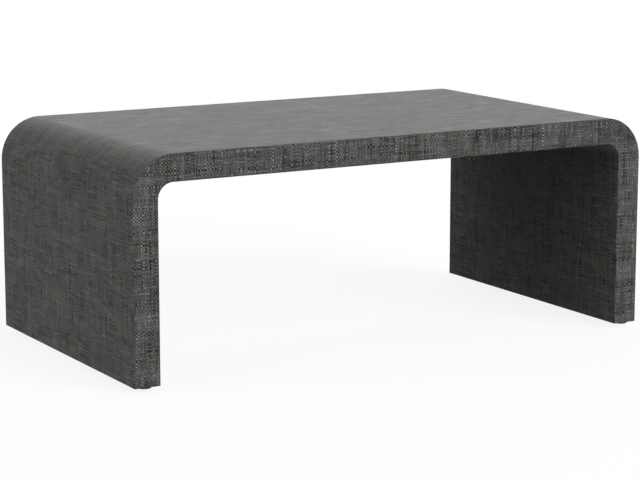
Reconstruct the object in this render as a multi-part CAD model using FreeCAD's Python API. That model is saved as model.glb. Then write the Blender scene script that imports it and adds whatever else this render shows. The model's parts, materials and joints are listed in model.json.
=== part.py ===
import FreeCAD
import Part
import math
import os

# Waterfall coffee table: two legs and a top that run into each other round large corners.
# The slabs are hollow: a grooved hardwood frame between thin board skins, with bent plywood shells
# over ply formers in the corners. Woven cloth is glued over all of it, and each leg stands on two
# screw-in levelling feet.
# Millimetres, +Z up. The origin is on the floor below the table's middle, +X runs along the table
# and -Y is its front.

# Driving dimensions of the whole table
LENGTH = 1219.0
DEPTH = 660.0
PANEL_HEIGHT = 456.0
SLAB = 56.0
INNER_RADIUS = 33.0

# Layers of a slab, from the outside in
CLOTH = 1.0
CLOTH_EDGE_SHARE = 0.7
SKIN = 9.0
SHELL_TAIL = 25.0

# Hardwood frame inside the slabs
SIDE_RAIL_WIDTH = 60.0
END_RAIL_WIDTH = 50.0
BASE_RAIL_WIDTH = 60.0
TOP_RIB = 20.0
TOP_RIB_COUNT = 5
LEG_RIB = 20.0
LEG_RIB_COUNT = 2
GROOVE_WIDTH = 12.0
GROOVE_DEPTH = 12.0
TONGUE_SIDE_GAP = 0.1
TONGUE_END_GAP = 0.8

# Plywood formers of the corners and the dowels that hold them to the frame
FORMER = 18.0
FORMER_COUNT = 5
DOWEL_DIAMETER = 8.0
DOWEL_LENGTH = 36.0
DOWEL_CHAMFER = 1.0
DOWEL_SIDE_GAP = 0.1
DOWEL_END_GAP = 1.0

# Levelling feet: a steel stud whose flat head is moulded into a pad
FOOT_DIAMETER = 28.0
FOOT_REVEAL = 1.5
FOOT_EDGE_RADIUS = 1.2
FOOT_TRAVEL = 10.0
PAD_SOLE = 1.2
PAD_LIP = 0.9
STUD_DIAMETER = 8.0
STUD_ENGAGEMENT = 17.0
STUD_CHAMFER = 1.0
STUD_HEAD = 1.4
STUD_HEAD_RIM = 3.5

# Flanged insert nuts that take the studs
INSERT_LENGTH = 20.0
INSERT_WALL = 1.85
INSERT_FLANGE = 1.5
INSERT_FLANGE_RIM = 2.5
INSERT_SIDE_GAP = 0.1
THREAD_GAP = 0.15
STUD_HOLE_GAP = 0.6
STUD_END_GAP = 2.0

# Worked out from the sizes above
OUTER_RADIUS = INNER_RADIUS + SLAB
CORE_START = CLOTH + SKIN
CORE_END = SLAB - CLOTH - SKIN
CORE = CORE_END - CORE_START
FOOT_DROP = PAD_SOLE + STUD_HEAD + PAD_LIP
TOP_Z = FOOT_DROP + PANEL_HEIGHT
BOARD_Z = FOOT_DROP + CLOTH
TANGENT_X = LENGTH / 2 - OUTER_RADIUS
TANGENT_Z = TOP_Z - OUTER_RADIUS
LEG_X = LENGTH / 2 - SLAB / 2
BOARD_Y = DEPTH / 2 - CLOTH
BAY_Y = BOARD_Y - SIDE_RAIL_WIDTH
FOOT_Y = DEPTH / 2 - FOOT_REVEAL - FOOT_DIAMETER / 2
TONGUE_WIDTH = GROOVE_WIDTH - 2 * TONGUE_SIDE_GAP
TONGUE_Y = BAY_Y + GROOVE_DEPTH - TONGUE_END_GAP
STUD_REACH = STUD_ENGAGEMENT + FOOT_TRAVEL
STUD_HOLE = STUD_DIAMETER + 2 * STUD_HOLE_GAP
THREAD_BORE = STUD_DIAMETER + 2 * THREAD_GAP
INSERT_DIAMETER = THREAD_BORE + 2 * INSERT_WALL
INSERT_FLANGE_DIAMETER = INSERT_DIAMETER + 2 * INSERT_FLANGE_RIM

SIDES = {"left": -1, "right": 1}
FACES = {"front": -1, "back": 1}
SKIN_LAYERS = {"outer": (CLOTH, CORE_START), "inner": (CORE_END, SLAB - CLOTH)}
AXIS_X = FreeCAD.Vector(1, 0, 0)
AXIS_Z = FreeCAD.Vector(0, 0, 1)


# Shapes that every piece is made of

def box(x_span, y_span, z_span):
    """A block between two values on each axis, given in either order."""
    spans = [sorted(span) for span in (x_span, y_span, z_span)]
    size = [high - low for low, high in spans]
    return Part.makeBox(*size, FreeCAD.Vector(*(low for low, _ in spans)))


def rod(diameter, length, start, axis):
    return Part.makeCylinder(diameter / 2, length, FreeCAD.Vector(*start), axis)


def turned(outline):
    """A solid of revolution about Z from (radius, height) points."""
    points = [FreeCAD.Vector(radius, 0, height) for radius, height in outline]
    face = Part.Face(Part.makePolygon(points + points[:1]))
    return face.revolve(FreeCAD.Vector(0, 0, 0), AXIS_Z, 360)


def centred(middle, width):
    return (middle - width / 2, middle + width / 2)


def at(x, z):
    return FreeCAD.Vector(x, 0, z)


def straight(start, end):
    return Part.LineSegment(start, end).toShape()


def corner_arc(side, offset):
    """The rounded stretch of a corner, that far in from the table's outer surface."""
    radius = OUTER_RADIUS - offset
    bulge = radius / math.sqrt(2)
    centre = at(side * TANGENT_X, TANGENT_Z)
    return Part.Arc(
        centre + at(side * radius, 0),
        centre + at(side * bulge, bulge),
        centre + at(0, radius),
    ).toShape()


def extruded(edges, y_span):
    """A closed outline in the XZ plane drawn out over a stretch of the depth."""
    face = Part.Face(Part.Wire(Part.__sortEdges__(edges)))
    face.translate(FreeCAD.Vector(0, min(y_span), 0))
    return face.extrude(FreeCAD.Vector(0, max(y_span) - min(y_span), 0))


def waterfall(outer, inner, y_span):
    """A layer that runs up one leg, across the top and down the other, between two depths."""
    edges = []
    for offset in (outer, inner):
        leg_x = LENGTH / 2 - offset
        top_z = TOP_Z - offset
        edges.append(straight(at(-TANGENT_X, top_z), at(TANGENT_X, top_z)))
        for side in SIDES.values():
            edges.append(corner_arc(side, offset))
            edges.append(straight(at(side * leg_x, FOOT_DROP), at(side * leg_x, TANGENT_Z)))
    for side in SIDES.values():
        ends = [at(side * (LENGTH / 2 - offset), FOOT_DROP) for offset in (outer, inner)]
        edges.append(straight(*ends))
    return extruded(edges, y_span)


def corner(side, outer, inner, tail, y_span):
    """A rounded corner layer between two depths, with a straight tail past each end of the bend."""
    edges = []
    leg_ends = []
    top_ends = []
    for offset in (outer, inner):
        leg_x = side * (LENGTH / 2 - offset)
        top_z = TOP_Z - offset
        edges.append(corner_arc(side, offset))
        leg_ends.append(at(leg_x, TANGENT_Z - tail))
        top_ends.append(at(side * (TANGENT_X - tail), top_z))
        if tail:
            edges.append(straight(leg_ends[-1], at(leg_x, TANGENT_Z)))
            edges.append(straight(top_ends[-1], at(side * TANGENT_X, top_z)))
    edges.append(straight(*leg_ends))
    edges.append(straight(*top_ends))
    return extruded(edges, y_span)


# Woven cloth covering

def depth_below_surface(point):
    """How far a point lies in from the table's outer surface."""
    beyond = at(abs(point.x) - TANGENT_X, point.z - TANGENT_Z)
    if beyond.x > 0 and beyond.z > 0:
        return OUTER_RADIUS - beyond.Length
    return OUTER_RADIUS - max(beyond.x, beyond.z)


def runs_along_rim(edge, offset):
    """Whether an edge follows the front or back of the table at that depth below its surface."""
    middle = edge.valueAt((edge.FirstParameter + edge.LastParameter) / 2)
    above_base = middle.z - FOOT_DROP > CLOTH / 2
    on_surface = abs(depth_below_surface(middle) - offset) < CLOTH / 2
    return above_base and on_surface and edge.BoundBox.YLength < CLOTH


def face_wrap(outer, inner, shown):
    """One long sheet over a whole face of the table, softly rounded where it turns over the rims."""
    sheet = waterfall(outer, inner, (-DEPTH / 2, DEPTH / 2))
    rims = [edge for edge in sheet.Edges if runs_along_rim(edge, shown)]
    return sheet.makeFillet(CLOTH * CLOTH_EDGE_SHARE, rims)


def edge_wrap(facing):
    """The strip over the slab's edge on the front or the back."""
    return waterfall(CLOTH, SLAB - CLOTH, (facing * BOARD_Y, facing * DEPTH / 2))


def base_wrap(side):
    """The patch under a leg, with a hole for each foot's stud."""
    patch = box(centred(side * LEG_X, SLAB - 2 * CLOTH), (-BOARD_Y, BOARD_Y), (FOOT_DROP, BOARD_Z))
    for facing in FACES.values():
        start = (side * LEG_X, facing * FOOT_Y, FOOT_DROP)
        patch = patch.cut(rod(STUD_HOLE, CLOTH, start, AXIS_Z))
    return patch


# Board skins and bent corner shells

def top_skin(layer):
    reach = TANGENT_X - SHELL_TAIL
    levels = [TOP_Z - offset for offset in SKIN_LAYERS[layer]]
    return box((-reach, reach), (-BOARD_Y, BOARD_Y), levels)


def leg_skin(side, layer):
    across = [side * (LENGTH / 2 - offset) for offset in SKIN_LAYERS[layer]]
    return box(across, (-BOARD_Y, BOARD_Y), (BOARD_Z, TANGENT_Z - SHELL_TAIL))


def corner_shell(side, layer):
    return corner(side, *SKIN_LAYERS[layer], SHELL_TAIL, (-BOARD_Y, BOARD_Y))


# Corner formers and dowels

def former_centres():
    first = BOARD_Y - FORMER / 2
    step = 2 * first / (FORMER_COUNT - 1)
    return [-first + step * number for number in range(FORMER_COUNT)]


def dowel_seats(side, y):
    """The middle of each of a former's two dowels, and the way from the former into the frame."""
    yield FreeCAD.Vector(side * TANGENT_X, y, TOP_Z - SLAB / 2), AXIS_X * -side
    yield FreeCAD.Vector(side * LEG_X, y, TANGENT_Z), AXIS_Z * -1


def dowel_holes(side, centres):
    reach = DOWEL_LENGTH / 2 + DOWEL_END_GAP
    diameter = DOWEL_DIAMETER + 2 * DOWEL_SIDE_GAP
    holes = []
    for y in centres:
        for seat, inward in dowel_seats(side, y):
            holes.append(rod(diameter, 2 * reach, seat - inward * reach, inward))
    return Part.makeCompound(holes)


def dowels():
    """All the beech pins, with chamfered ends."""
    pins = []
    for side in SIDES.values():
        for y in former_centres():
            for seat, inward in dowel_seats(side, y):
                pin = rod(DOWEL_DIAMETER, DOWEL_LENGTH, seat - inward * (DOWEL_LENGTH / 2), inward)
                rims = [edge for edge in pin.Edges if edge.Closed]
                pins.append(pin.makeChamfer(DOWEL_CHAMFER, rims))
    return Part.makeCompound(pins)


def former(side, y):
    """A quarter ring of plywood that holds the two shells of a corner apart."""
    blank = corner(side, CORE_START, CORE_END, 0, centred(y, FORMER))
    return blank.cut(dowel_holes(side, [y]))


# Frame of the top

CORE_LEVELS = centred(TOP_Z - SLAB / 2, CORE)
GROOVE_LEVELS = centred(TOP_Z - SLAB / 2, GROOVE_WIDTH)
TONGUE_LEVELS = centred(TOP_Z - SLAB / 2, TONGUE_WIDTH)


def top_side_rail(facing):
    """The long rail along the front or back, grooved on its inner edge."""
    along = (-TANGENT_X, TANGENT_X)
    rail = box(along, (facing * BAY_Y, facing * BOARD_Y), CORE_LEVELS)
    rail = rail.cut(box(along, (facing * BAY_Y, facing * (BAY_Y + GROOVE_DEPTH)), GROOVE_LEVELS))
    for side in SIDES.values():
        rail = rail.cut(dowel_holes(side, former_centres()))
    return rail


def top_cross_piece(x_span):
    """A piece across the frame, with a stub tongue in each side rail's groove."""
    body = box(x_span, (-BAY_Y, BAY_Y), CORE_LEVELS)
    return body.fuse(box(x_span, (-TONGUE_Y, TONGUE_Y), TONGUE_LEVELS)).removeSplitter()


def top_end_rail(side):
    rail = top_cross_piece((side * TANGENT_X, side * (TANGENT_X - END_RAIL_WIDTH)))
    return rail.cut(dowel_holes(side, former_centres()))


def top_rib(number):
    first = END_RAIL_WIDTH - TANGENT_X
    middle = first - 2 * first * (number + 1) / (TOP_RIB_COUNT + 1)
    return top_cross_piece(centred(middle, TOP_RIB))


# Frame of a leg

BASE_RAIL_TOP = BOARD_Z + BASE_RAIL_WIDTH
HEAD_RAIL_BASE = TANGENT_Z - END_RAIL_WIDTH


def insert_seat(side, facing):
    """The stepped hole up into a stile: flange recess, insert bore and room for the stud's end."""
    start = (side * LEG_X, facing * FOOT_Y, BOARD_Z)
    bore = rod(INSERT_DIAMETER + 2 * INSERT_SIDE_GAP, INSERT_LENGTH, start, AXIS_Z)
    recess = rod(INSERT_FLANGE_DIAMETER + 2 * INSERT_SIDE_GAP, INSERT_FLANGE, start, AXIS_Z)
    room = rod(STUD_HOLE, STUD_REACH + STUD_END_GAP, start, AXIS_Z)
    return bore.fuse(recess).fuse(room)


def leg_stile(side, facing):
    """The upright at the front or back of a leg, grooved inside and bored for its foot."""
    upright = (BOARD_Z, TANGENT_Z)
    inner_edge = (facing * BAY_Y, facing * (BAY_Y + GROOVE_DEPTH))
    stile = box(centred(side * LEG_X, CORE), (facing * BAY_Y, facing * BOARD_Y), upright)
    stile = stile.cut(box(centred(side * LEG_X, GROOVE_WIDTH), inner_edge, upright))
    return stile.cut(dowel_holes(side, former_centres())).cut(insert_seat(side, facing))


def leg_rail(side, z_span, groove_span):
    """A rail across a leg, tongued into the stiles and grooved along one edge for the ribs."""
    body = box(centred(side * LEG_X, CORE), (-BAY_Y, BAY_Y), z_span)
    tongue = box(centred(side * LEG_X, TONGUE_WIDTH), (-TONGUE_Y, TONGUE_Y), z_span)
    groove = box(centred(side * LEG_X, GROOVE_WIDTH), (-TONGUE_Y, TONGUE_Y), groove_span)
    return body.fuse(tongue).removeSplitter().cut(groove)


def leg_head_rail(side):
    groove = (HEAD_RAIL_BASE, HEAD_RAIL_BASE + GROOVE_DEPTH)
    rail = leg_rail(side, (HEAD_RAIL_BASE, TANGENT_Z), groove)
    return rail.cut(dowel_holes(side, former_centres()))


def leg_base_rail(side):
    groove = (BASE_RAIL_TOP - GROOVE_DEPTH, BASE_RAIL_TOP)
    return leg_rail(side, (BOARD_Z, BASE_RAIL_TOP), groove)


def leg_rib(side, number):
    """An upright between a leg's two rails, with a stub tongue in each."""
    depth = centred(-BAY_Y + 2 * BAY_Y * (number + 1) / (LEG_RIB_COUNT + 1), LEG_RIB)
    reach = GROOVE_DEPTH - TONGUE_END_GAP
    body = box(centred(side * LEG_X, CORE), depth, (BASE_RAIL_TOP, HEAD_RAIL_BASE))
    tongue_span = (BASE_RAIL_TOP - reach, HEAD_RAIL_BASE + reach)
    tongue = box(centred(side * LEG_X, TONGUE_WIDTH), depth, tongue_span)
    return body.fuse(tongue).removeSplitter()


# Levelling feet and their inserts, turned about Z and then set under the legs

def under_leg(shape, side, facing):
    shape.translate(FreeCAD.Vector(side * LEG_X, facing * FOOT_Y, 0))
    return shape


def stud():
    """The steel stud, with the flat head that its pad is moulded round."""
    shank = STUD_DIAMETER / 2
    head = shank + STUD_HEAD_RIM
    head_top = PAD_SOLE + STUD_HEAD
    tip = BOARD_Z + STUD_REACH
    return turned([
        (0, PAD_SOLE),
        (head, PAD_SOLE),
        (head, head_top),
        (shank, head_top),
        (shank, tip - STUD_CHAMFER),
        (shank - STUD_CHAMFER, tip),
        (0, tip),
    ])


def pad():
    """The round pad, its lower rim rolled over and its inside filled by the stud's head."""
    disc = rod(FOOT_DIAMETER, FOOT_DROP, (0, 0, 0), AXIS_Z)
    rim = [edge for edge in disc.Edges if edge.Closed and edge.BoundBox.ZMax < FOOT_DROP / 2]
    return disc.makeFillet(FOOT_EDGE_RADIUS, rim).cut(stud())


def insert():
    """The flanged insert nut in a stile's end, its thread left as a plain bore."""
    flange_top = BOARD_Z + INSERT_FLANGE
    top = BOARD_Z + INSERT_LENGTH
    return turned([
        (THREAD_BORE / 2, BOARD_Z),
        (INSERT_FLANGE_DIAMETER / 2, BOARD_Z),
        (INSERT_FLANGE_DIAMETER / 2, flange_top),
        (INSERT_DIAMETER / 2, flange_top),
        (INSERT_DIAMETER / 2, top),
        (THREAD_BORE / 2, top),
    ])


def inserts():
    places = [(side, facing) for side in SIDES.values() for facing in FACES.values()]
    return Part.makeCompound([under_leg(insert(), *place) for place in places])


# Every node of the table by name

def end_pieces(name, side):
    """The corner, the leg and the two feet at one end of the table."""
    pieces = {
        f"{name}_base_wrap": base_wrap(side),
        f"top_{name}_end_rail": top_end_rail(side),
        f"{name}_leg_head_rail": leg_head_rail(side),
        f"{name}_leg_base_rail": leg_base_rail(side),
    }
    for layer in SKIN_LAYERS:
        pieces[f"{name}_leg_{layer}_skin"] = leg_skin(side, layer)
        pieces[f"{name}_corner_{layer}_shell"] = corner_shell(side, layer)
    for number, y in enumerate(former_centres(), start=1):
        pieces[f"{name}_corner_former_{number}"] = former(side, y)
    for number in range(LEG_RIB_COUNT):
        pieces[f"{name}_leg_rib_{number + 1}"] = leg_rib(side, number)
    for face_name, facing in FACES.items():
        pieces[f"{name}_leg_{face_name}_stile"] = leg_stile(side, facing)
        pieces[f"{face_name}_{name}_foot_stud"] = under_leg(stud(), side, facing)
        pieces[f"{face_name}_{name}_foot_pad"] = under_leg(pad(), side, facing)
    return pieces


def all_pieces():
    pieces = {
        "outer_wrap": face_wrap(0, CLOTH, 0),
        "inner_wrap": face_wrap(SLAB - CLOTH, SLAB, SLAB),
        "corner_dowels": dowels(),
        "foot_inserts": inserts(),
    }
    for layer in SKIN_LAYERS:
        pieces[f"top_{layer}_skin"] = top_skin(layer)
    for number in range(TOP_RIB_COUNT):
        pieces[f"top_rib_{number + 1}"] = top_rib(number)
    for face_name, facing in FACES.items():
        pieces[f"{face_name}_edge_wrap"] = edge_wrap(facing)
        pieces[f"top_{face_name}_rail"] = top_side_rail(facing)
    for side_name, side in SIDES.items():
        pieces.update(end_pieces(side_name, side))
    return pieces


os.makedirs("parts", exist_ok=True)
for node, shape in all_pieces().items():
    shape.exportStep(f"parts/{node}.step")
    print(node, len(shape.Solids), round(shape.Volume), shape.isValid())
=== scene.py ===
import bpy
import json
import math
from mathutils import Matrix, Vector


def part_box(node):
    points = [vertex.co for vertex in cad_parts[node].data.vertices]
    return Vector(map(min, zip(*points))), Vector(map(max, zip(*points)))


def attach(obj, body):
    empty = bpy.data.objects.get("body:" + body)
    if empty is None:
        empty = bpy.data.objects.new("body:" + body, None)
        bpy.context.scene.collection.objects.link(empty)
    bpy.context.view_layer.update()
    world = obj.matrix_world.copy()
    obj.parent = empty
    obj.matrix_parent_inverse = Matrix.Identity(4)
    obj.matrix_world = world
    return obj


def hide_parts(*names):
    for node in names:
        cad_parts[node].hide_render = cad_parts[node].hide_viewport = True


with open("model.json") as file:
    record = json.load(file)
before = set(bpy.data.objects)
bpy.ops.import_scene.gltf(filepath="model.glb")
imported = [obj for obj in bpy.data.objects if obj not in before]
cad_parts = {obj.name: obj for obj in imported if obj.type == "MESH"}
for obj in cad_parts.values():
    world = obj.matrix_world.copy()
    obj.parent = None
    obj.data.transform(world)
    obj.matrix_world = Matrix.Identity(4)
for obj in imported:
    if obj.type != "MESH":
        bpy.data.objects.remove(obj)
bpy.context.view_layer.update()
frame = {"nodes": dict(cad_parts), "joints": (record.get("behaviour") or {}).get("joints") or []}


# Frames: rails, stiles and ribs of planed poplar, glued up into one flat frame for the top and one for each
# leg. The grain runs along each stick. Boards and cloth shut the frames in.
POPLAR = (0.64, 0.48, 0.29, 1)
POPLAR_HEART = (0.46, 0.37, 0.21, 1)
POPLAR_ROUGHNESS = 0.68
GRAIN_LENGTH = 0.30
GRAIN_WIDTH = 0.004
GRAIN_RANGE = (0.3, 0.75)
GRAIN_SHARE = 0.6
HEART_LENGTH = 0.60
HEART_WIDTH = 0.025
HEART_RANGE = (0.5, 0.75)
HEART_SHARE = 0.4
MIX_FIRST_COLOUR = 6
MIX_SECOND_COLOUR = 7
MIX_COLOUR_OUT = 2


class Term:
    """A node's output, as a number that plain arithmetic works on."""

    def __init__(self, tree, socket):
        self.tree = tree
        self.socket = socket

    def reckon(self, operation, *others):
        """A Math node's result for this number and the others."""
        values = dict(enumerate((self, *others)))
        return add_node(self.tree, "ShaderNodeMath", values, operation=operation)

    def __add__(self, other):
        return self.reckon("ADD", other)

    def __sub__(self, other):
        return self.reckon("SUBTRACT", other)

    def __mul__(self, other):
        return self.reckon("MULTIPLY", other)

    def __truediv__(self, other):
        return self.reckon("DIVIDE", other)

    def __neg__(self):
        return self * -1

    def eased(self, low, high, start=0.0, end=1.0):
        """This number taken from low..high to start..end, slow at both ends and held past them."""
        values = {"Value": self, "From Min": low, "From Max": high, "To Min": start, "To Max": end}
        return add_node(self.tree, "ShaderNodeMapRange", values, interpolation_type="SMOOTHSTEP")

    def feeds(self, node, socket):
        self.tree.links.new(self.socket, node.inputs[socket])


def add_node(tree, kind, values=None, out=0, **settings):
    """A new node, its settings made and its inputs joined or filled in, as the Term of one output."""
    node = tree.nodes.new(kind)
    for name, setting in settings.items():
        setattr(node, name, setting)
    for key, value in (values or {}).items():
        if isinstance(value, Term):
            value.feeds(node, key)
        else:
            node.inputs[key].default_value = value
    return Term(tree, node.outputs[out])


def vector(tree, x=0.0, y=0.0, z=0.0):
    return add_node(tree, "ShaderNodeCombineXYZ", {"X": x, "Y": y, "Z": z})


def parts_of(tree, place):
    """The x, y and z of a vector."""
    split = tree.nodes.new("ShaderNodeSeparateXYZ")
    place.feeds(split, 0)
    return [Term(tree, output) for output in split.outputs]


def place_on_table(tree):
    """The x, y and z of a point in the table's own frame, in metres."""
    return parts_of(tree, add_node(tree, "ShaderNodeTexCoord", out="Object"))


def noise(tree, x, y, z=0.0, detail=0.0):
    """Smooth noise about 0.5, one swing for each unit of x, y or z."""
    values = {"Vector": vector(tree, x, y, z), "Scale": 1.0, "Detail": detail}
    return add_node(tree, "ShaderNodeTexNoise", values, noise_dimensions="3D")


def mixed(tree, share, first, second):
    """A colour between two."""
    values = {"Factor": share, MIX_FIRST_COLOUR: first, MIX_SECOND_COLOUR: second}
    return add_node(tree, "ShaderNodeMix", values, out=MIX_COLOUR_OUT, data_type="RGBA")


def new_material(name):
    """A new finish, its node tree and its shader."""
    material = bpy.data.materials.new(name)
    material.use_nodes = True
    return material, material.node_tree, material.node_tree.nodes["Principled BSDF"]


def dress(material, node):
    """A CAD solid given its finish."""
    for slot in frame["nodes"][node].material_slots:
        slot.material = material


def poplar(name, lengthways):
    """Pale straight grain with greenish heart streaks, along one axis."""
    material, tree, shader = new_material(name)
    place = place_on_table(tree)
    along = place.pop(lengthways)
    across, through = place
    grain = noise(tree, along / GRAIN_LENGTH, across / GRAIN_WIDTH, through / GRAIN_WIDTH, detail=3.0)
    heart = noise(tree, along / HEART_LENGTH, across / HEART_WIDTH, through / HEART_WIDTH, detail=1.0)
    share = grain.eased(*GRAIN_RANGE) * GRAIN_SHARE + heart.eased(*HEART_RANGE) * HEART_SHARE
    mixed(tree, share, POPLAR, POPLAR_HEART).feeds(shader, "Base Color")
    shader.inputs["Roughness"].default_value = POPLAR_ROUGHNESS
    return material


POPLAR_ALONG = [poplar("poplar_along_" + axis, side) for side, axis in enumerate("xyz")]
for stick in frame["nodes"]:
    if stick.endswith(("_rail", "_stile")) or "_rib_" in stick:
        low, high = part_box(stick)
        sides = list(high - low)
        dress(POPLAR_ALONG[sides.index(max(sides))], stick)


# Insert nuts: zinc plated steel, driven into the lower ends of the stiles for the levelling feet. All four
# are one CAD solid group and stay as they are.
ZINC = (0.62, 0.61, 0.57, 1)
ZINC_SPANGLE = (0.50, 0.50, 0.48, 1)
ZINC_ROUGHNESS = 0.38
SPANGLE_SIZE = 0.0022
SPANGLE_RANGE = (0.35, 0.7)


def clouds(tree, place, size, detail=0.0):
    """Smooth noise of one size in every direction."""
    x, y, z = place
    return noise(tree, x / size, y / size, z / size, detail)


def zinc_plate(name):
    """Bright plating with a faint cloudy spangle."""
    material, tree, shader = new_material(name)
    spangle = clouds(tree, place_on_table(tree), SPANGLE_SIZE, detail=2.0).eased(*SPANGLE_RANGE)
    mixed(tree, spangle, ZINC, ZINC_SPANGLE).feeds(shader, "Base Color")
    shader.inputs["Metallic"].default_value = 1.0
    shader.inputs["Roughness"].default_value = ZINC_ROUGHNESS
    return material


ZINC_PLATE = zinc_plate("zinc_plate")
dress(ZINC_PLATE, "foot_inserts")


# Corner formers: five quarter rounds to a corner, sawn from birch plywood and dowelled between the frames.
# The plies lie flat to a former's face and show as stripes on its sawn edge.
BIRCH = (0.68, 0.53, 0.35, 1)
BIRCH_END_GRAIN = (0.50, 0.36, 0.21, 1)
BIRCH_PLY = 0.0015
BIRCH_PLY_STEP = 3.7
BIRCH_TURNED_SHARE = 0.6
BIRCH_GRAIN_LENGTH = 0.08
BIRCH_GRAIN_WIDTH = 0.003
BIRCH_GRAIN_SHARE = 0.35
PLYWOOD_ROUGHNESS = 0.66


def birch_plywood(name):
    """Thin plies, every other one turned to show its end grain."""
    material, tree, shader = new_material(name)
    x, y, z = place_on_table(tree)
    ply = (y / BIRCH_PLY).reckon("FLOOR")
    turned = ply.reckon("FLOORED_MODULO", 2) * BIRCH_TURNED_SHARE
    grain = noise(tree, x / BIRCH_GRAIN_LENGTH, ply * BIRCH_PLY_STEP, z / BIRCH_GRAIN_WIDTH, detail=3.0)
    share = turned + grain.eased(*GRAIN_RANGE) * BIRCH_GRAIN_SHARE
    mixed(tree, share, BIRCH, BIRCH_END_GRAIN).feeds(shader, "Base Color")
    shader.inputs["Roughness"].default_value = PLYWOOD_ROUGHNESS
    return material


BIRCH_PLYWOOD = birch_plywood("birch_plywood")
for former in frame["nodes"]:
    if "_corner_former_" in former:
        dress(BIRCH_PLYWOOD, former)


# Dowels: round beech pins glued half into the formers and half into the frames, to hold the corners. All
# twenty are one CAD solid group and stay as they are.
BEECH = (0.64, 0.44, 0.28, 1)
BEECH_FLECK = (0.46, 0.28, 0.16, 1)
BEECH_ROUGHNESS = 0.6
FLECK_LENGTH = 0.0015
FLECK_WIDTH = 0.0006
FLECK_RANGE = (0.55, 0.7)
FLECK_SHARE = 0.6
BEECH_CLOUD = 0.012
CLOUD_RANGE = (0.3, 0.7)
BEECH_CLOUD_SHARE = 0.25


def beech(name):
    """Even pinkish wood with short dark flecks."""
    material, tree, shader = new_material(name)
    x, y, z = place_on_table(tree)
    fleck = noise(tree, x / FLECK_LENGTH, y / FLECK_WIDTH, z / FLECK_LENGTH, detail=1.0)
    cloud = clouds(tree, (x, y, z), BEECH_CLOUD)
    share = fleck.eased(*FLECK_RANGE) * FLECK_SHARE + cloud.eased(*CLOUD_RANGE) * BEECH_CLOUD_SHARE
    mixed(tree, share, BEECH, BEECH_FLECK).feeds(shader, "Base Color")
    shader.inputs["Roughness"].default_value = BEECH_ROUGHNESS
    return material


dress(beech("beech"), "corner_dowels")


# Board skins: raw fibreboard glued over both sides of the frames, for the cloth to lie on. The boards meet
# the corner shells end to end and are sanded level with them.
FIBREBOARD = (0.45, 0.325, 0.205, 1)
FIBREBOARD_DARK = (0.34, 0.235, 0.145, 1)
FIBREBOARD_ROUGHNESS = 0.8
FELT_FIBRE = 0.0016
FELT_FIBRE_RANGE = (0.35, 0.7)
FELT_FIBRE_SHARE = 0.7
FELT_CLOUD = 0.05
FELT_CLOUD_SHARE = 0.3


def fibreboard(name):
    """Fine short fibres in a cloudy brown felt."""
    material, tree, shader = new_material(name)
    place = place_on_table(tree)
    fibre = clouds(tree, place, FELT_FIBRE, detail=3.0).eased(*FELT_FIBRE_RANGE)
    cloud = clouds(tree, place, FELT_CLOUD, detail=2.0).eased(*CLOUD_RANGE)
    share = fibre * FELT_FIBRE_SHARE + cloud * FELT_CLOUD_SHARE
    mixed(tree, share, FIBREBOARD, FIBREBOARD_DARK).feeds(shader, "Base Color")
    shader.inputs["Roughness"].default_value = FIBREBOARD_ROUGHNESS
    return material


FIBREBOARD_FELT = fibreboard("fibreboard")
for skin in frame["nodes"]:
    if skin.endswith("_skin"):
        dress(FIBREBOARD_FELT, skin)


# Corner shells: thin bending plywood glued round the formers inside and outside, with straight tails on the
# frames. The face veneer's grain runs across the table, along the bend's axis.
VENEER = (0.61, 0.45, 0.285, 1)
VENEER_PORE = (0.45, 0.31, 0.18, 1)
VENEER_PLY = 0.0022
VENEER_TURNED_SHARE = 0.35
PORE_LENGTH = 0.12
PORE_WIDTH = 0.003
PORE_RANGE = (0.4, 0.75)
PORE_SHARE = 0.55
bend_low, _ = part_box("right_corner_former_1")


def bending_plywood(name):
    """Plies that follow the bend, with open pores along its axis."""
    material, tree, shader = new_material(name)
    x, y, z = place_on_table(tree)
    out_past_bend = (x.reckon("ABSOLUTE") - bend_low.x).reckon("MAXIMUM", 0.0)
    up_past_bend = (z - bend_low.z).reckon("MAXIMUM", 0.0)
    from_axis = (out_past_bend * out_past_bend + up_past_bend * up_past_bend).reckon("SQRT")
    ply = (from_axis / VENEER_PLY).reckon("FLOOR")
    turned = ply.reckon("FLOORED_MODULO", 2) * VENEER_TURNED_SHARE
    pore = noise(tree, x / PORE_WIDTH, y / PORE_LENGTH, z / PORE_WIDTH, detail=3.0)
    share = turned + pore.eased(*PORE_RANGE) * PORE_SHARE
    mixed(tree, share, VENEER, VENEER_PORE).feeds(shader, "Base Color")
    shader.inputs["Roughness"].default_value = PLYWOOD_ROUGHNESS
    return material


BENDING_PLYWOOD = bending_plywood("bending_plywood")
for shell in frame["nodes"]:
    if shell.endswith("_shell"):
        dress(BENDING_PLYWOOD, shell)


# Cloth on the outer face: one sheet of charcoal raffia, plain woven from palm strips and clear lacquered.
# It is glued down over leg, top and leg in one length, and its two long rims are turned over the slab's
# front and back arrises.
CLOTH = 0.001
RIM_RADIUS = 0.0012
RIM_LIP = 0.0015
CUT_RADIUS = 0.0002
BEND_STEPS = 28
RIM_STEPS = 5
FACET = 0.02

outer_low, outer_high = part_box("outer_wrap")
DEPTH = outer_high.y - outer_low.y
BASE_Z = outer_low.z
TOP_Z = outer_high.z
HALF_LENGTH = outer_high.x
BEND_RADIUS = HALF_LENGTH - bend_low.x

# The yarns: how far apart, how uneven in width and how much they wander, and over what lengths.
YARN_PITCH = 0.0035
YARN_UNEVEN = 2.4
UNEVEN_ACROSS = 0.011
UNEVEN_ALONG = 0.2
YARN_WANDER = 0.5
WANDER_ACROSS = 0.12
WANDER_ALONG = 0.09
UP_PLACE_SALT = 3.9
CROSS_PLACE_SALT = 31.7


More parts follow.
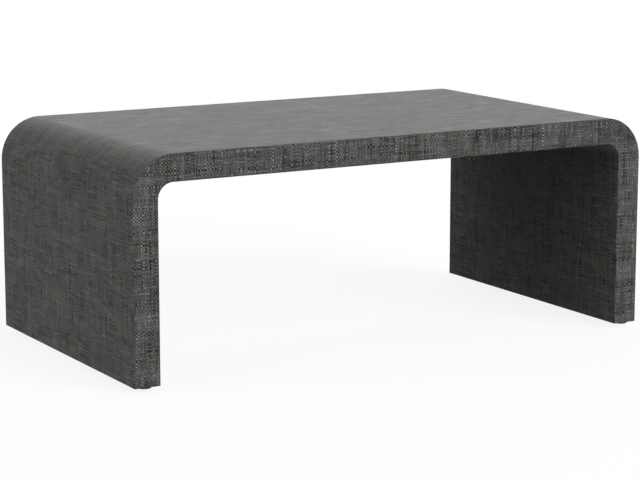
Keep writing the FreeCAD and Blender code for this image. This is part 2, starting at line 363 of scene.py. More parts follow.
def chance(tree, x, y):
    """A number from 0 to 1 for whole numbers x and y, by chance but the same each time."""
    return add_node(tree, "ShaderNodeTexWhiteNoise", {"Vector": vector(tree, x, y)}, noise_dimensions="2D")


def swing(tree, x, y, detail=0.0):
    """Smooth noise about 0."""
    return noise(tree, x, y, detail=detail) - 0.5


def yarn_place(tree, across, along, salt):
    """How many yarns in a point lies, with yarns of uneven width that wander a little."""
    width = swing(tree, across / UNEVEN_ACROSS + salt, along / UNEVEN_ALONG)
    wander = swing(tree, across / WANDER_ACROSS + salt, along / WANDER_ALONG, detail=1.0)
    return across / YARN_PITCH + width * YARN_UNEVEN + wander * YARN_WANDER


# The marks on a yarn. Its number times a step says where in the noise it reads each kind of mark: with a
# large step neighbours differ, and with a small one they are alike and make bands.
DYE_STEP = 7.31
DYE_LENGTH = 0.1
BAND_STEP = 0.14
BAND_LENGTH = 0.16
DASH_STEP = 5.13
DASH_SALT = 7.7
RUN_STEP = 3.71
RUN_SALT = 3.3
MARK_LENGTH = 0.06
MARK_RANGE = (0.63, 0.69)
UP_TONE_SALT = 11.0
CROSS_TONE_SALT = 57.0


def yarn_tone(tree, number, along, salt, own, band, streak):
    """How light a yarn is along its length: its own dye, bands of like yarns, pale dashes and dark runs."""
    dye = swing(tree, number * DYE_STEP + salt, along / DYE_LENGTH, detail=1.0)
    alike = swing(tree, number * BAND_STEP + salt, along / BAND_LENGTH, detail=2.0)
    dash = noise(tree, number * DASH_STEP + salt, along / MARK_LENGTH, DASH_SALT).eased(*MARK_RANGE)
    run = noise(tree, number * RUN_STEP + salt, along / MARK_LENGTH, RUN_SALT).eased(*MARK_RANGE)
    return dye * own + alike * band + (dash - run) * streak + 1


# A strip where it lies on top, and its fibres.
SIDE_DROP = 0.3
END_DROP = 0.8
FIBRE_WIDTH = 0.0004
FIBRE_LENGTH = 0.012
CROSS_FIBRE_SALT = 5.5


def strip_height(aside, endwise):
    """How high a strip stands where it lies on top: full at its sides, and diving under at its ends."""
    return (aside.reckon("POWER", 4) * -SIDE_DROP + 1) * (endwise.reckon("POWER", 2) * -END_DROP + 1)


def either(up, cross, cross_over):
    """The value of whichever yarn lies on top."""
    return up + (cross - up) * cross_over


def dimmed(tree, colour, light):
    values = {0: colour, 1: vector(tree, light, light, light)}
    return add_node(tree, "ShaderNodeVectorMath", values, operation="MULTIPLY")


# The dye: charcoal with olive patches and strands, and short inky slubs on the cross yarns.
CHARCOAL = (0.0854, 0.0856, 0.0854, 1)
OLIVE = (0.0880, 0.0880, 0.0770, 1)
INK = (0.030, 0.031, 0.036, 1)
DARKEST = 0.15
UP_MARKS = 0.9
CROSS_MARKS = 1.25
CHECK_WIDTH = 0.045
CHECK_LENGTH = 0.03
CHECK_SALT = 41
CHECK_RANGE = (0.36, 0.64)
PATCH_WIDTH = 0.08
PATCH_LENGTH = 0.05
PATCH_SALT_ACROSS = 9
PATCH_SALT_ALONG = 3
PATCH_SHARE = 0.7
STRAND_STEP = 3.3
STRAND_LENGTH = 0.2
STRAND_SHARE = 0.3
CROSS_STRAND_SALT = 9.1
OLIVE_RANGE = (0.49, 0.61)
SLUB_LENGTH = 0.02
SLUB_SALT = 191
SLUB_RANGE = (0.72, 0.8)

# The lacquer: duller in the dips of the weave, with glossy and dull dashes. Near the top the yarns' marks
# are rubbed fainter, the cross yarns' most.
# Painted shade: the cloth's colour is darkened by the yarns' height where they dive under and in the gaps
# between them, and lifted a little on their crowns.
PAINTED_SHADE_BY_HEIGHT = (0.1, 0.9, 0.3, 1.2)
ROUGHNESS_BY_HEIGHT = (0, 1, 0.68, 0.54)
LACQUER_SPECULAR = 0.083
WEAVE_RELIEF = 0.0004
RELIEF_STRENGTH = 0.4
GLOSS_STEP = 0.25
GLOSS_RANGE = (0.65, 0.72)
GLOSS_DEPTH = 0.07
SHINY_SALTS = (5, 4.1)
DULL_SALTS = (17, 8.3)
RUB_FROM_Z = TOP_Z - 0.06
RUB_FULL_Z = TOP_Z - 0.004
UP_RUB = 0.4


def raffia(name, own, band, streak, checker, speckle, rubbed):
    """Plain weave on the piece's own map, in metres: upright and cross yarns pass over by turns.

    own, band and streak say how much the yarns differ in tone, checker how far the upright yarns are paler
    than the cross yarns in patches, speckle how uneven the fibres are, and rubbed how much of all that is
    worn away near the table's top, from the cross yarns most.
    """
    material, tree, shader = new_material(name)
    u, v, _ = parts_of(tree, add_node(tree, "ShaderNodeUVMap", uv_map="weave"))
    up_place = yarn_place(tree, u, v, UP_PLACE_SALT)
    cross_place = yarn_place(tree, v, u, CROSS_PLACE_SALT)
    up_number = up_place.reckon("FLOOR")
    cross_number = cross_place.reckon("FLOOR")
    up_side = ((up_place - up_number) * 2 - 1).reckon("ABSOLUTE")
    cross_side = ((cross_place - cross_number) * 2 - 1).reckon("ABSOLUTE")
    cross_over = (up_number + cross_number).reckon("FLOORED_MODULO", 2)

    check = noise(tree, u / CHECK_WIDTH + CHECK_SALT, v / CHECK_LENGTH, detail=1.0)
    check = check.eased(*CHECK_RANGE, 0, checker * 2)
    up_marks = [amount * UP_MARKS for amount in (own, band, streak)]
    cross_marks = [amount * CROSS_MARKS for amount in (own, band, streak)]
    up_tone = yarn_tone(tree, up_number, v, UP_TONE_SALT, *up_marks) * (check + 1)
    cross_tone = yarn_tone(tree, cross_number, u, CROSS_TONE_SALT, *cross_marks) * (-check + 1)
    tone = either(up_tone, cross_tone, cross_over).reckon("MAXIMUM", DARKEST)
    height = either(strip_height(up_side, cross_side), strip_height(cross_side, up_side), cross_over)
    up_fibre = noise(tree, u / FIBRE_WIDTH, v / FIBRE_LENGTH, detail=1.0)
    cross_fibre = noise(tree, v / FIBRE_WIDTH, u / FIBRE_LENGTH, CROSS_FIBRE_SALT, detail=1.0)
    fibre = (either(up_fibre, cross_fibre, cross_over) - 0.5) * (speckle * 2) + 1
    pick = (chance(tree, up_number, cross_number) - 0.5) * speckle + 1
    # The colour is dimmed by the yarns' height: painted shade in the dips and gaps of the weave.
    light = tone * pick * fibre * height.eased(*PAINTED_SHADE_BY_HEIGHT)
    _, _, z = place_on_table(tree)
    worn = z.eased(RUB_FROM_Z, RUB_FULL_Z, 0, rubbed)
    light = light - (light - 1) * worn * (cross_over * (1 - UP_RUB) + UP_RUB)

    patch = noise(tree, u / PATCH_WIDTH + PATCH_SALT_ACROSS, v / PATCH_LENGTH + PATCH_SALT_ALONG, detail=1.0)
    up_strand = noise(tree, up_number * STRAND_STEP, v / STRAND_LENGTH)
    cross_strand = noise(tree, cross_number * STRAND_STEP, u / STRAND_LENGTH, CROSS_STRAND_SALT)
    strand = either(up_strand, cross_strand, cross_over)
    olive = (patch * PATCH_SHARE + strand * STRAND_SHARE).eased(*OLIVE_RANGE)
    colour = dimmed(tree, mixed(tree, olive, CHARCOAL, OLIVE), light)
    slub = noise(tree, cross_number * DASH_STEP + SLUB_SALT, u / SLUB_LENGTH).eased(*SLUB_RANGE) * cross_over
    mixed(tree, slub, colour, INK).feeds(shader, "Base Color")

    shiny, dull = [
        noise(tree, up_number * GLOSS_STEP + across, v / MARK_LENGTH, salt).eased(*GLOSS_RANGE)
        for across, salt in (SHINY_SALTS, DULL_SALTS)]
    roughness = height.eased(*ROUGHNESS_BY_HEIGHT) + (dull - shiny) * GLOSS_DEPTH
    roughness.feeds(shader, "Roughness")
    relief = {"Height": height, "Distance": WEAVE_RELIEF, "Strength": RELIEF_STRENGTH}
    add_node(tree, "ShaderNodeBump", relief).feeds(shader, "Normal")
    shader.inputs["Specular IOR Level"].default_value = LACQUER_SPECULAR
    return material


FACE_RAFFIA = raffia("charcoal_raffia", own=0.75, band=1.45, streak=0.75, checker=0.06, speckle=0.07,
                     rubbed=0.75)


def new_tree(name, *sizes):
    """An empty Geometry Nodes tree and its named inputs, all lengths in metres."""
    tree = bpy.data.node_groups.new(name, "GeometryNodeTree")
    tree.interface.new_socket("Geometry", in_out="OUTPUT", socket_type="NodeSocketGeometry")
    for size in sizes:
        tree.interface.new_socket(size, in_out="INPUT", socket_type="NodeSocketFloat")
    given = tree.nodes.new("NodeGroupInput")
    return tree, [Term(tree, given.outputs[size]) for size in sizes]


def by_number(tree, kind, number, items):
    """One item for each whole number from 0 up. The switch is made with its first two."""
    switch = tree.nodes.new("GeometryNodeIndexSwitch")
    switch.data_type = kind
    for _ in items[2:]:
        switch.index_switch_items.new()
    number.feeds(switch, "Index")
    for place, item in enumerate(items, 1):
        if isinstance(item, Term):
            item.feeds(switch, place)
        else:
            switch.inputs[place].default_value = item
    return Term(tree, switch.outputs[0])


def rounded_line(tree, line, corners, radius, steps):
    """A line laid through its corners, with the corners rounded and the long runs cut into facets."""
    places = by_number(tree, "VECTOR", add_node(tree, "GeometryNodeInputIndex"), corners)
    line = add_node(tree, "GeometryNodeSetPosition", {"Geometry": line, "Position": places})
    values = {"Curve": line, "Count": steps, "Radius": radius, "Limit Radius": True}
    line = add_node(tree, "GeometryNodeFilletCurve", values, mode="POLY")
    here = add_node(tree, "GeometryNodeInputPosition")
    count = add_node(tree, "GeometryNodeSplineLength", out="Point Count")
    after = (add_node(tree, "GeometryNodeInputIndex") + 1).reckon("MODULO", count)
    there = add_node(tree, "GeometryNodeFieldAtIndex", {"Index": after, "Value": here},
                     domain="POINT", data_type="FLOAT_VECTOR")
    run = add_node(tree, "ShaderNodeVectorMath", {0: here, 1: there}, out="Value", operation="DISTANCE")
    cuts = (run / FACET).reckon("FLOOR")
    return add_node(tree, "GeometryNodeSubdivideCurve", {"Curve": line, "Cuts": cuts})


def closed_loop(tree, corners, radius):
    """A closed outline through its corners, each rounded by the radius."""
    loop = add_node(tree, "GeometryNodeCurvePrimitiveCircle", {"Resolution": len(corners)})
    return rounded_line(tree, loop, corners, radius, RIM_STEPS)


def keep(tree, geometry, name, value, domain="POINT", data_type="FLOAT"):
    """The geometry with a value kept on it under a name."""
    values = {"Geometry": geometry, "Name": name, "Value": value}
    return add_node(tree, "GeometryNodeStoreNamedAttribute", values, domain=domain, data_type=data_type)


def kept(tree, name):
    return add_node(tree, "GeometryNodeInputNamedAttribute", {"Name": name}, data_type="FLOAT")


def waterfall_path(tree, half_length, top, base, radius):
    """Up one leg, round the corner, across the top and down the other leg, measured as it goes."""
    start = -half_length
    corners = [vector(tree, start, 0, base), vector(tree, start, 0, top),
               vector(tree, half_length, 0, top), vector(tree, half_length, 0, base)]
    line = add_node(tree, "GeometryNodeCurvePrimitiveLine")
    values = {"Curve": line, "Count": len(corners)}
    line = add_node(tree, "GeometryNodeResampleCurve", values, mode="COUNT")
    path = rounded_line(tree, line, corners, radius, BEND_STEPS)
    path = add_node(tree, "GeometryNodeSetCurveNormal", {"Curve": path, "Normal": (0, 1, 0)}, mode="FREE")
    length = add_node(tree, "GeometryNodeSplineParameter", out="Length")
    share = add_node(tree, "GeometryNodeSplineParameter", out="Factor")
    return keep(tree, keep(tree, path, "along", length), "share", share)


def face_average(tree, value):
    """A value as the mean over each face, so that no face is split between two places on a map."""
    return add_node(tree, "GeometryNodeFieldOnDomain", {"Value": value}, domain="FACE", data_type="FLOAT")


def swept_cloth(tree, path, profile, weave, bake):
    """The profile drawn along the path as a closed mesh, with its weave map and its bake map."""
    values = {"Curve": path, "Profile Curve": profile, "Fill Caps": True}
    mesh = add_node(tree, "GeometryNodeCurveToMesh", values)
    mesh = keep(tree, mesh, "weave", weave, "CORNER", "FLOAT2")
    mesh = keep(tree, mesh, "OFBake", bake, "CORNER", "FLOAT2")
    for name in ("along", "share", "across", "buried"):
        mesh = add_node(tree, "GeometryNodeRemoveAttribute", {"Geometry": mesh, "Name": name})
    return add_node(tree, "GeometryNodeSetShadeSmooth", {"Geometry": mesh})


def hand_over(tree, mesh, material):
    """The tree's end: realized, dressed and given out."""
    mesh = add_node(tree, "GeometryNodeRealizeInstances", {"Geometry": mesh})
    mesh = add_node(tree, "GeometryNodeSetMaterial", {"Geometry": mesh, "Material": material})
    mesh.feeds(tree.nodes.new("NodeGroupOutput"), "Geometry")


def piece_from(tree, name, **sizes):
    """A plain mesh piece made by a tree at these sizes, shaded by the true slope of its big faces."""
    piece = bpy.data.objects.new(name, bpy.data.meshes.new(name))
    bpy.context.scene.collection.objects.link(piece)
    grown = piece.modifiers.new("grown", "NODES")
    grown.node_group = tree
    for socket in tree.interface.items_tree:
        if socket.in_out == "INPUT":
            grown[socket.identifier] = sizes[socket.name.replace(" ", "_").lower()]
    shaded = piece.modifiers.new("shaded", "WEIGHTED_NORMAL")
    shaded.keep_sharp = True
    finished = piece.evaluated_get(bpy.context.evaluated_depsgraph_get())
    mesh = bpy.data.meshes.new_from_object(finished)
    piece.modifiers.clear()
    piece.data = mesh
    mesh.name = name
    return piece


# The face cloth's bake map: its shown side in two rows, one for each half of its length, and its glued side
# in a strip beside them.
BAKE_ROW = 1.012
BAKE_INSET = 0.004
GLUED_START = 0.79
GLUED_WIDTH = 0.2
GLUED_DEPTH = 0.95
LEAST_DIVISOR = 0.001


def face_cloth():
    """A sheet over one whole face, its two rims turned over the arrises."""
    tree, sizes = new_tree("cloth over a face", "Half length", "Top", "Base", "Bend radius", "Depth",
                           "Cloth", "Rim lip", "Rim radius", "Cut radius")
    half_length, top, base, bend_radius, depth, cloth, lip, rim_radius, cut_radius = sizes
    path = waterfall_path(tree, half_length, top, base, bend_radius)
    rim = depth / 2
    board = rim - cloth
    corners = [vector(tree, -board, -lip), vector(tree, -board, -cloth),
               vector(tree, board, -cloth), vector(tree, board, -lip),
               vector(tree, rim, -lip), vector(tree, rim), vector(tree, -rim), vector(tree, -rim, -lip)]
    radii = [cut_radius] * 5 + [rim_radius, rim_radius, cut_radius]
    radius = by_number(tree, "FLOAT", add_node(tree, "GeometryNodeInputIndex"), radii)
    profile = closed_loop(tree, corners, radius)
    y, n, _ = parts_of(tree, add_node(tree, "GeometryNodeInputPosition"))
    profile = keep(tree, profile, "across", y - y.reckon("SIGN") * n)
    profile = keep(tree, profile, "buried", (rim - y.reckon("ABSOLUTE")).reckon("MINIMUM", -n))

    along = kept(tree, "along")
    share = kept(tree, "share")
    across = kept(tree, "across")
    glued = face_average(tree, kept(tree, "buried")).reckon("GREATER_THAN", cloth * GLUED_DEPTH)
    second = face_average(tree, share).reckon("GREATER_THAN", 0.5)
    row = depth * BAKE_ROW
    up = (across + row / 2) / row
    half_along = along - along / share.reckon("MAXIMUM", LEAST_DIVISOR) * second * 0.5
    shown_u = half_along / (row * 2) + BAKE_INSET
    shown_v = (up + second) * 0.5
    glued_u = up * GLUED_WIDTH + GLUED_START
    bake = vector(tree, shown_u + (glued_u - shown_u) * glued, shown_v + (share - shown_v) * glued)
    mesh = swept_cloth(tree, path, profile, vector(tree, across, along), bake)
    hand_over(tree, mesh, FACE_RAFFIA)
    return tree


FACE_CLOTH = face_cloth()
CLOTH_SIZES = {"depth": DEPTH, "cloth": CLOTH, "rim_lip": RIM_LIP, "rim_radius": RIM_RADIUS,
               "cut_radius": CUT_RADIUS, "base": BASE_Z}


outer_cloth = piece_from(FACE_CLOTH, "outer_cloth", half_length=HALF_LENGTH, top=TOP_Z,
                         bend_radius=BEND_RADIUS, **CLOTH_SIZES)
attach(outer_cloth, "table")
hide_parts("outer_wrap")


# Cloth on the inner face: the same raffia in one length up the inside of a leg, under the top and down
# the other, with its rims turned over the inner arrises.
_, inner_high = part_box("inner_wrap")
SLAB = HALF_LENGTH - inner_high.x + CLOTH
INNER_HALF = HALF_LENGTH - SLAB
INNER_TOP = TOP_Z - SLAB
INNER_BEND = BEND_RADIUS - SLAB

inner_cloth = piece_from(FACE_CLOTH, "inner_cloth", half_length=-INNER_HALF, top=INNER_TOP,
                         bend_radius=INNER_BEND, **CLOTH_SIZES)
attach(inner_cloth, "table")
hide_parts("inner_wrap")


# Cloth on the slab's edges: a strip on the front and one on the back, cut with the weave level and upright
# and glued between the turned rims of the two face cloths. Nothing rubs it, so its weave shows most.
SEAM = 0.0001
STRIP_WIDTH = SLAB - 2 * RIM_LIP - 2 * SEAM
STRIP_GLUED_DEPTH = 0.6
STRIP_ROWS = 4
ROW_END_GAP = 0.01
ROW_SIDE_GAP = 0.05
EDGE_RAFFIA = raffia("charcoal_raffia_on_edges", own=2.65, band=1.8, streak=0.5, checker=0.26, speckle=0.43,
                     rubbed=0)


def edge_cloth():
    """A flat strip along the middle of the slab's edge. Its bake map lays it out in rows, both sides."""
    tree, sizes = new_tree("cloth over an edge", "Half length", "Top", "Base", "Bend radius", "Shown",
                           "Board", "Width", "Cut radius")
    half_length, top, base, bend_radius, shown, board, width, cut_radius = sizes
    path = waterfall_path(tree, half_length, top, base, bend_radius)
    side = width / 2
    front = board.reckon("MINIMUM", shown)
    back = board.reckon("MAXIMUM", shown)
    corners = [vector(tree, front, -side), vector(tree, back, -side),
               vector(tree, back, side), vector(tree, front, side)]
    profile = closed_loop(tree, corners, cut_radius)
    y, n, _ = parts_of(tree, add_node(tree, "GeometryNodeInputPosition"))
    profile = keep(tree, profile, "across", (n + side) / width)
    profile = keep(tree, profile, "buried", (y - shown).reckon("ABSOLUTE"))

    x, _, z = parts_of(tree, add_node(tree, "GeometryNodeInputPosition"))
    far_in = (board - shown).reckon("ABSOLUTE") * STRIP_GLUED_DEPTH
    glued = face_average(tree, kept(tree, "buried")).reckon("GREATER_THAN", far_in)
    rows_along = kept(tree, "share") * STRIP_ROWS
    row = face_average(tree, rows_along).reckon("FLOOR")
    row_along = (rows_along - row) * (1 - 2 * ROW_END_GAP) + ROW_END_GAP
    row_up = kept(tree, "across") * (1 - 2 * ROW_SIDE_GAP) + ROW_SIDE_GAP
    bake = vector(tree, row_along, (row_up + row + glued * STRIP_ROWS) / (2 * STRIP_ROWS))
    mesh = swept_cloth(tree, path, profile, vector(tree, x, z), bake)
    hand_over(tree, mesh, EDGE_RAFFIA)
    return tree


EDGE_CLOTH = edge_cloth()
MID_HALF = HALF_LENGTH - SLAB / 2
MID_TOP = TOP_Z - SLAB / 2
MID_BEND = BEND_RADIUS - SLAB / 2
for name, facing in (("front", -1), ("back", 1)):
    strip = piece_from(EDGE_CLOTH, f"{name}_edge_cloth", half_length=MID_HALF, top=MID_TOP, base=BASE_Z,
                       bend_radius=MID_BEND, shown=facing * DEPTH / 2, board=facing * (DEPTH / 2 - CLOTH),
                       width=STRIP_WIDTH, cut_radius=CUT_RADIUS)
    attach(strip, "table")
    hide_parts(f"{name}_edge_wrap")


# Cloth under the legs: a patch of the same raffia glued over the end of each leg, inside the other cloths,
# and punched with a round hole at either end where a levelling foot's stud goes through.
STUD_HOLE = 0.0092
HOLE_STEPS = 40
WELD = 0.00001


def base_cloth():
    """A flat patch with two holes, filled in, thickened upwards and closed underneath."""
    tree, sizes = new_tree("cloth under a leg", "Middle", "Base", "Width", "Depth", "Cloth", "Hole radius",
                           "Hole spread", "Cut radius")
    middle, base, width, depth, cloth, hole_radius, hole_spread, cut_radius = sizes
    left = middle - width / 2
    right = middle + width / 2
    end = depth / 2
    corners = [vector(tree, left, -end), vector(tree, right, -end),
               vector(tree, right, end), vector(tree, left, end)]
    lines = tree.nodes.new("GeometryNodeJoinGeometry")
    closed_loop(tree, corners, cut_radius).feeds(lines, 0)
    circle = {"Resolution": HOLE_STEPS, "Radius": hole_radius}
    hole = add_node(tree, "GeometryNodeCurvePrimitiveCircle", circle)
    for spread in (hole_spread, -hole_spread):
        moved = {"Geometry": hole, "Offset": vector(tree, middle, spread)}
        add_node(tree, "GeometryNodeSetPosition", moved).feeds(lines, 0)
    outline = Term(tree, lines.outputs[0])
    under = add_node(tree, "GeometryNodeFillCurve", {"Curve": outline}, mode="TRIANGLES")
    raised = {"Mesh": under, "Offset": (0, 0, 1), "Offset Scale": cloth, "Individual": False}
    both = tree.nodes.new("GeometryNodeJoinGeometry")
    add_node(tree, "GeometryNodeExtrudeMesh", raised, mode="FACES").feeds(both, 0)
    add_node(tree, "GeometryNodeFlipFaces", {"Mesh": under}).feeds(both, 0)
    mesh = Term(tree, both.outputs[0])
    mesh = add_node(tree, "GeometryNodeMergeByDistance", {"Geometry": mesh, "Distance": WELD})
    mesh = add_node(tree, "GeometryNodeSetPosition", {"Geometry": mesh, "Offset": vector(tree, 0, 0, base)})
    x, y, _ = parts_of(tree, add_node(tree, "GeometryNodeInputPosition"))
    mesh = keep(tree, mesh, "weave", vector(tree, x, y), "CORNER", "FLOAT2")
    hand_over(tree, mesh, FACE_RAFFIA)
    return tree


BASE_CLOTH = base_cloth()
stud_low, stud_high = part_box("front_right_foot_stud")
for side in ("left", "right"):
    patch_low, patch_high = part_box(f"{side}_base_wrap")
    patch_width = patch_high.x - patch_low.x
    patch_depth = patch_high.y - patch_low.y
    patch = piece_from(BASE_CLOTH, f"{side}_base_cloth", middle=(patch_low.x + patch_high.x) / 2,
                       base=patch_low.z, width=patch_width, depth=patch_depth, cloth=CLOTH,
                       hole_radius=STUD_HOLE / 2, hole_spread=-(stud_low.y + stud_high.y) / 2,
                       cut_radius=CUT_RADIUS)
    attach(patch, "table")
    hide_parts(f"{side}_base_wrap")


# Levelling foot studs: M8 machine screws of zinc plated steel with a flat round head. The nylon pads are
# moulded round the heads, and the threads turn in the insert nuts.
STUD_RADIUS = 0.004
THREAD_PITCH = 0.00125
THREAD_DEPTH = 0.00077
THREAD_FLANK = (0.1, 0.85)
TIP_INSET = 1.2
STUD_HEAD = 0.0014
HEAD_ROUNDING = 0.0002
STUD_SIDES = 32
ROWS_TO_A_TURN = 12
HEAD_ROWS = 4


def threaded_stud():
    """A round head and a shank whose rows follow a screw thread, cut to a cone at the tip."""
    tree, sizes = new_tree("threaded stud", "Middle x", "Middle y", "Head z", "Tip z", "Head radius",
                           "Head", "Rounding", "Radius", "Pitch", "Thread depth", "Rows")
    middle_x, middle_y, head_z, tip_z, head_radius, head, rounding, radius, pitch, depth, rows = sizes
    rod = tree.nodes.new("GeometryNodeMeshCylinder")
    rod.inputs["Vertices"].default_value = STUD_SIDES
    rod.inputs["Radius"].default_value = 1.0
    rod.inputs["Depth"].default_value = 1.0
    rows.feeds(rod, "Side Segments")
    mesh = keep(tree, Term(tree, rod.outputs["Mesh"]), "OFBake", Term(tree, rod.outputs["UV Map"]),
                "CORNER", "FLOAT2")
    x, y, z = parts_of(tree, add_node(tree, "GeometryNodeInputPosition"))
    row = ((z + 0.5) * rows).reckon("ROUND")
    out = (x * x + y * y).reckon("SQRT").reckon("MAXIMUM", LEAST_DIVISOR)
    shank_z = head_z + head + (row - HEAD_ROWS) / (rows - HEAD_ROWS) * (tip_z - head_z - head)
    turn = y.reckon("ARCTAN2", x) / (2 * math.pi)
    phase = (shank_z / pitch - turn).reckon("FLOORED_MODULO", 1)
    ridge = (phase * 2 - 1).reckon("ABSOLUTE").eased(*THREAD_FLANK)
    thread = radius - depth + depth * ridge
    shank = thread.reckon("MINIMUM", tip_z - shank_z + radius - depth * TIP_INSET)
    number = row.reckon("MINIMUM", HEAD_ROWS)
    radii = [head_radius - rounding, head_radius, head_radius, head_radius - rounding, shank]
    heights = [head_z, head_z + rounding, head_z + head - rounding, head_z + head, shank_z]
    size = by_number(tree, "FLOAT", number, radii) / out
    place = vector(tree, x * size + middle_x, y * size + middle_y, by_number(tree, "FLOAT", number, heights))
    mesh = add_node(tree, "GeometryNodeSetPosition", {"Geometry": mesh, "Position": place})
    mesh = add_node(tree, "GeometryNodeSetShadeSmooth", {"Geometry": mesh})
    hand_over(tree, mesh, ZINC_PLATE)
    return tree


THREADED_STUD = threaded_stud()
for face in ("front", "back"):
    for side in ("left", "right"):
        foot = f"{face}_{side}_foot"
        stud_low, stud_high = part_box(f"{foot}_stud")
        shank_length = stud_high.z - stud_low.z - STUD_HEAD
        stud_rows = HEAD_ROWS + round(shank_length / THREAD_PITCH * ROWS_TO_A_TURN)
        stud = piece_from(THREADED_STUD, f"{foot}_threaded_stud", middle_x=(stud_low.x + stud_high.x) / 2,
                          middle_y=(stud_low.y + stud_high.y) / 2, head_z=stud_low.z, tip_z=stud_high.z,
                          head_radius=(stud_high.x - stud_low.x) / 2, head=STUD_HEAD, rounding=HEAD_ROUNDING,
                          radius=STUD_RADIUS, pitch=THREAD_PITCH, thread_depth=THREAD_DEPTH, rows=stud_rows)
        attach(stud, foot)
        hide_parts(f"{foot}_stud")


# Foot pads: round glides of black nylon moulded over the stud heads, with a fine spark-eroded skin that is
# rubbed smoother and paler on the sole.
NYLON = (0.022, 0.022, 0.023, 1)
NYLON_RUBBED = (0.060, 0.060, 0.061, 1)
NYLON_GRAIN = 0.00035
NYLON_ROUGHNESS_BY_GRAIN = (0.3, 0.7, 0.42, 0.58)
NYLON_RELIEF = 0.00004
NYLON_RELIEF_STRENGTH = 0.5
SOLE_RUB = 0.0006
SOLE_SMEAR = 0.006
SOLE_SMEAR_RANGE = (0.35, 0.65)
SOLE_POLISH = 0.1


def moulded_nylon(name):
    """A finely grained black skin, with pale smears on the sole."""
    material, tree, shader = new_material(name)
    place = place_on_table(tree)
    grain = clouds(tree, place, NYLON_GRAIN, detail=2.0)
    smear = clouds(tree, place, SOLE_SMEAR, detail=2.0).eased(*SOLE_SMEAR_RANGE)
    rubbed = place[2].eased(0.0, SOLE_RUB, 1.0, 0.0) * smear
    mixed(tree, rubbed, NYLON, NYLON_RUBBED).feeds(shader, "Base Color")
    (grain.eased(*NYLON_ROUGHNESS_BY_GRAIN) - rubbed * SOLE_POLISH).feeds(shader, "Roughness")
    relief = {"Height": grain, "Distance": NYLON_RELIEF, "Strength": NYLON_RELIEF_STRENGTH}
    add_node(tree, "ShaderNodeBump", relief).feeds(shader, "Normal")
    return material


MOULDED_NYLON = moulded_nylon("moulded_nylon")
for pad in frame["nodes"]:
    if pad.endswith("_foot_pad"):
        dress(MOULDED_NYLON, pad)


# Studio: a plain pale floor, one broad soft light from the front and weaker ones from the left and the back.
# The floor lies where the feet reach when they are screwed right out, so that no foot ever goes through it.
FOOT_TRAVEL = max(joint["range_m"][1] for joint in frame["joints"])
FLOOR_HALF = 30
FLOOR_GREY = (0.20, 0.20, 0.20, 1)
FLOOR_GLOW = 0.865
WHITE = (1, 1, 1, 1)
WORLD_FILL = 0.14
LIGHT_SPREAD = 50

floor_mesh = bpy.data.meshes.new("floor")
floor_sides = ((-1, -1), (1, -1), (1, 1), (-1, 1))
floor_corners = [(x * FLOOR_HALF, y * FLOOR_HALF, -FOOT_TRAVEL) for x, y in floor_sides]
floor_mesh.from_pydata(floor_corners, [], [(0, 1, 2, 3)])
floor = bpy.data.objects.new("floor", floor_mesh)
bpy.context.scene.collection.objects.link(floor)


def seen_directly(tree):
    """1 for the camera's own rays and for mirrored and clear ones, and 0 for the light that spreads."""
    path = tree.nodes.new("ShaderNodeLightPath")
    camera_ray, glossy_ray, clear_ray = [Term(tree, path.outputs[name]) for name in (
        "Is Camera Ray", "Is Glossy Ray", "Is Transmission Ray")]
    return camera_ray.reckon("MAXIMUM", glossy_ray).reckon("MAXIMUM", clear_ray)


floor_material, floor_tree, _ = new_material("pale_floor")
floor_tree.nodes.clear()
matte = add_node(floor_tree, "ShaderNodeBsdfDiffuse", {"Color": FLOOR_GREY})
glow = add_node(floor_tree, "ShaderNodeEmission", {"Color": WHITE, "Strength": FLOOR_GLOW})
pale = add_node(floor_tree, "ShaderNodeAddShader", {0: matte, 1: glow})
either_floor = {0: seen_directly(floor_tree), 1: matte, 2: pale}
floor_seen = add_node(floor_tree, "ShaderNodeMixShader", either_floor)
floor_seen.feeds(floor_tree.nodes.new("ShaderNodeOutputMaterial"), "Surface")
floor_mesh.materials.append(floor_material)

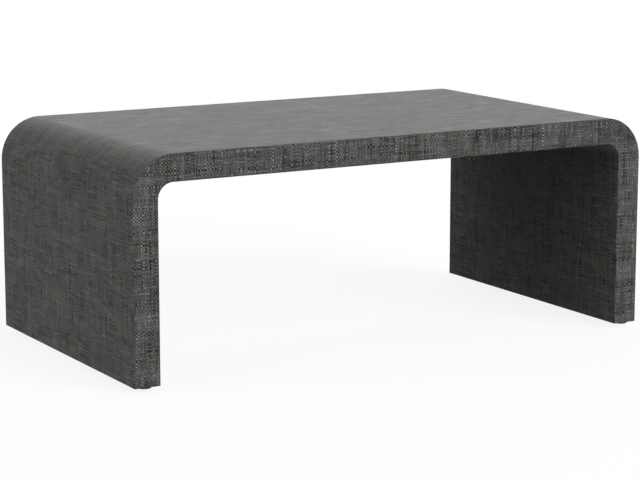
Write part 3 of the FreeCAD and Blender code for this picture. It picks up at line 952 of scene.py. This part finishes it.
world = bpy.data.worlds.new("studio")
bpy.context.scene.world = world
world.use_nodes = True
world_tree = world.node_tree
world_tree.nodes.clear()
fill = add_node(world_tree, "ShaderNodeBackground", {"Color": WHITE, "Strength": WORLD_FILL})
backdrop = add_node(world_tree, "ShaderNodeBackground", {"Color": WHITE, "Strength": 1.0})
either_world = {0: seen_directly(world_tree), 1: fill, 2: backdrop}
world_seen = add_node(world_tree, "ShaderNodeMixShader", either_world)
world_seen.feeds(world_tree.nodes.new("ShaderNodeOutputWorld"), "Surface")


def towards(azimuth, elevation):
    """The direction from the table to a light or camera, 0 being straight in front."""
    around = math.radians(azimuth)
    above = math.radians(elevation)
    return Vector((math.sin(around) * math.cos(above), -math.cos(around) * math.cos(above), math.sin(above)))


def soft_light(name, azimuth, elevation, strength):
    """A broad lamp that lights a white card facing it to this strength."""
    lamp = bpy.data.lights.new(name, "SUN")
    lamp.energy = strength * math.pi
    lamp.angle = math.radians(LIGHT_SPREAD)
    light = bpy.data.objects.new(name, lamp)
    light.rotation_euler = towards(azimuth, elevation).to_track_quat("Z", "Y").to_euler()
    bpy.context.scene.collection.objects.link(light)


soft_light("front light", azimuth=20, elevation=20, strength=0.89)
soft_light("left light", azimuth=-90, elevation=20, strength=0.38)
soft_light("back light", azimuth=150, elevation=20, strength=0.30)


# Camera: at the photograph's angle, from the table's front left and a little above. Its lens and its place
# were fitted to the table's edges in the photograph.
LENS = 123.331
SENSOR_WIDTH = 36
CAMERA_AZIMUTH = -30.0319
CAMERA_ELEVATION = 10.4597
CAMERA_DISTANCE = 4.79675
CAMERA_AIM = Vector((-0.003875, 0, 0.189534))

camera_data = bpy.data.cameras.new("camera")
camera_data.lens = LENS
camera_data.sensor_width = SENSOR_WIDTH
camera = bpy.data.objects.new("camera", camera_data)
camera_side = towards(CAMERA_AZIMUTH, CAMERA_ELEVATION)
camera.location = CAMERA_AIM + camera_side * CAMERA_DISTANCE
camera.rotation_euler = camera_side.to_track_quat("Z", "Y").to_euler()
bpy.context.scene.collection.objects.link(camera)
bpy.context.scene.camera = camera
bpy.context.scene.view_settings.view_transform = "Standard"
